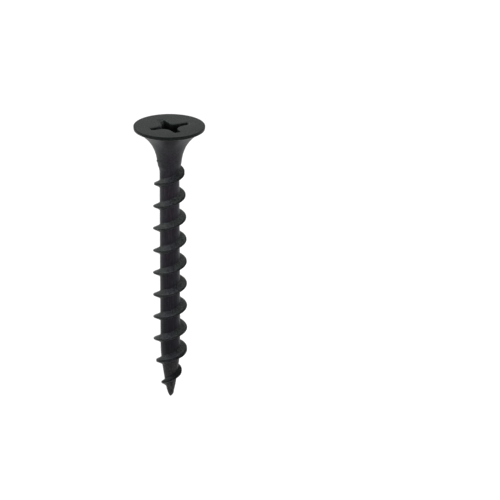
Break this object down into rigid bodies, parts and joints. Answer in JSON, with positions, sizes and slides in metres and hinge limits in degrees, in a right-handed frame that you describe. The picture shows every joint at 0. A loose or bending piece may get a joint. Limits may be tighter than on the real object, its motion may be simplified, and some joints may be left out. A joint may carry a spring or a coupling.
{
  "type": "bugle-head wood screw",
  "caption": "Black bugle-head screw with a cross recess, a coarse right-hand thread and a sharp point, for fixing board or light timber to wood.",
  "frame": {"origin": "centre of the head's flat top face, on the screw's axis; with the screw driven flush this is the surface of the wood", "axes": "+Z along the screw's axis, out of the head towards the driver; the point is at -Z; +X and +Y are across the axis, with the first recess wing 24.5 degrees from +X towards +Y"},
  "size_m": [0.0078, 0.0078, 0.032],
  "materials": {
    "phosphated_steel_head": "satin",
    "phosphated_steel_shank": "satin",
    "phosphated_steel_thread": "satin",
    "phosphated_steel_point": "satin"
  },
  "bodies": {
    "root": {"head": "phosphated_steel_head", "shank": "phosphated_steel_shank", "thread": "phosphated_steel_thread", "point": "phosphated_steel_point"}
  },
  "joints": []
}
